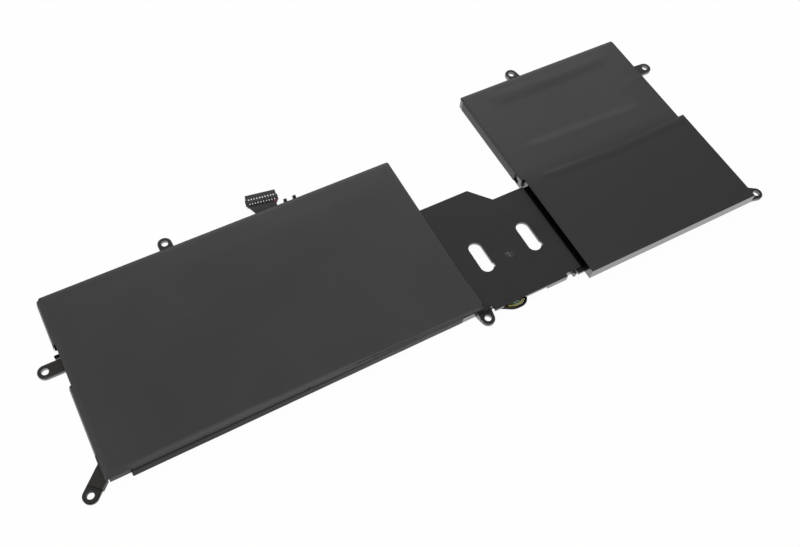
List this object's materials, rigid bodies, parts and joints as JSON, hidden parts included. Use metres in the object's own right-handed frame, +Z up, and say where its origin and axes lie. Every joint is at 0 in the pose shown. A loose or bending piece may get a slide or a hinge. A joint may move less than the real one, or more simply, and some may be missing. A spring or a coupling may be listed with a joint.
{
  "type": "laptop battery",
  "caption": "Flat laptop battery: thin wide block and thicker deep block of pouch cells in one black frame, joined by a slotted bridge, with screw ears and a short plug harness.",
  "frame": {"origin": "centre of the left block's underside, on the plane that the pack lies on", "axes": "+X along the pack from the thin block to the thick block, +Y towards the long side with the plug, +Z up through the thickness"},
  "size_m": [0.324, 0.1196, 0.006],
  "materials": {
    "moulding": "moulded, faintly glossy",
    "black_film": "matte polyester film",
    "double_tape": "satin",
    "black_tape": "satin",
    "pouch": "laminated foil",
    "aluminium_tab": "rolled",
    "nickel": "rolled",
    "board": "solder mask",
    "chip": "moulded",
    "fuse_body": "ceramic",
    "ceramic": "ceramic",
    "insulator": "film",
    "bead": "dipped",
    "wire_black": "extruded",
    "wire_yellow": "extruded",
    "wire_green": "extruded",
    "wire_white": "extruded",
    "wire_red": "extruded",
    "plug_body": "moulded",
    "tin": "stamped and tinned"
  },
  "bodies": {
    "root": {"frame": "moulding", "top_film_left": "black_film", "top_film_right": "black_film", "bottom_film_left": "black_film", "bottom_film_right": "black_film", "channel_tape": "black_tape", "cell_1": "pouch", "cell_2": "pouch", "cell_3": "pouch", "cell_4": "pouch", "cell_tape_1": "double_tape", "cell_tape_2": "double_tape", "cell_tape_3": "double_tape", "cell_tape_4": "double_tape", "tab_positive_1": "aluminium_tab", "tab_negative_1": "nickel", "tab_positive_2": "aluminium_tab", "tab_negative_2": "nickel", "tab_positive_3": "aluminium_tab", "tab_negative_3": "nickel", "tab_positive_4": "aluminium_tab", "tab_negative_4": "nickel", "link_strip_left": "nickel", "link_strip_right": "nickel", "circuit_board": "board", "gauge_chip": "chip", "protection_chip": "chip", "charge_switch": "chip", "discharge_switch": "chip", "cell_fuse": "fuse_body", "shunt_resistor": "chip", "capacitors": "ceramic", "board_insulator": "insulator", "temperature_sensor": "bead", "bridge_wire_black_1": "wire_black", "bridge_wire_black_2": "wire_black", "bridge_wire_yellow": "wire_yellow", "bridge_wire_green": "wire_green", "bridge_wire_white": "wire_white", "harness_wire_1": "wire_black", "harness_wire_2": "wire_black", "harness_wire_3": "wire_black", "harness_wire_4": "wire_black", "harness_wire_5": "wire_black", "harness_wire_6": "wire_black", "harness_wire_7": "wire_black", "harness_wire_8": "wire_black", "harness_wire_9": "wire_black", "harness_wire_10": "wire_red", "harness_tape": "black_tape", "plug_housing": "plug_body", "plug_contacts": "tin"}
  },
  "joints": []
}
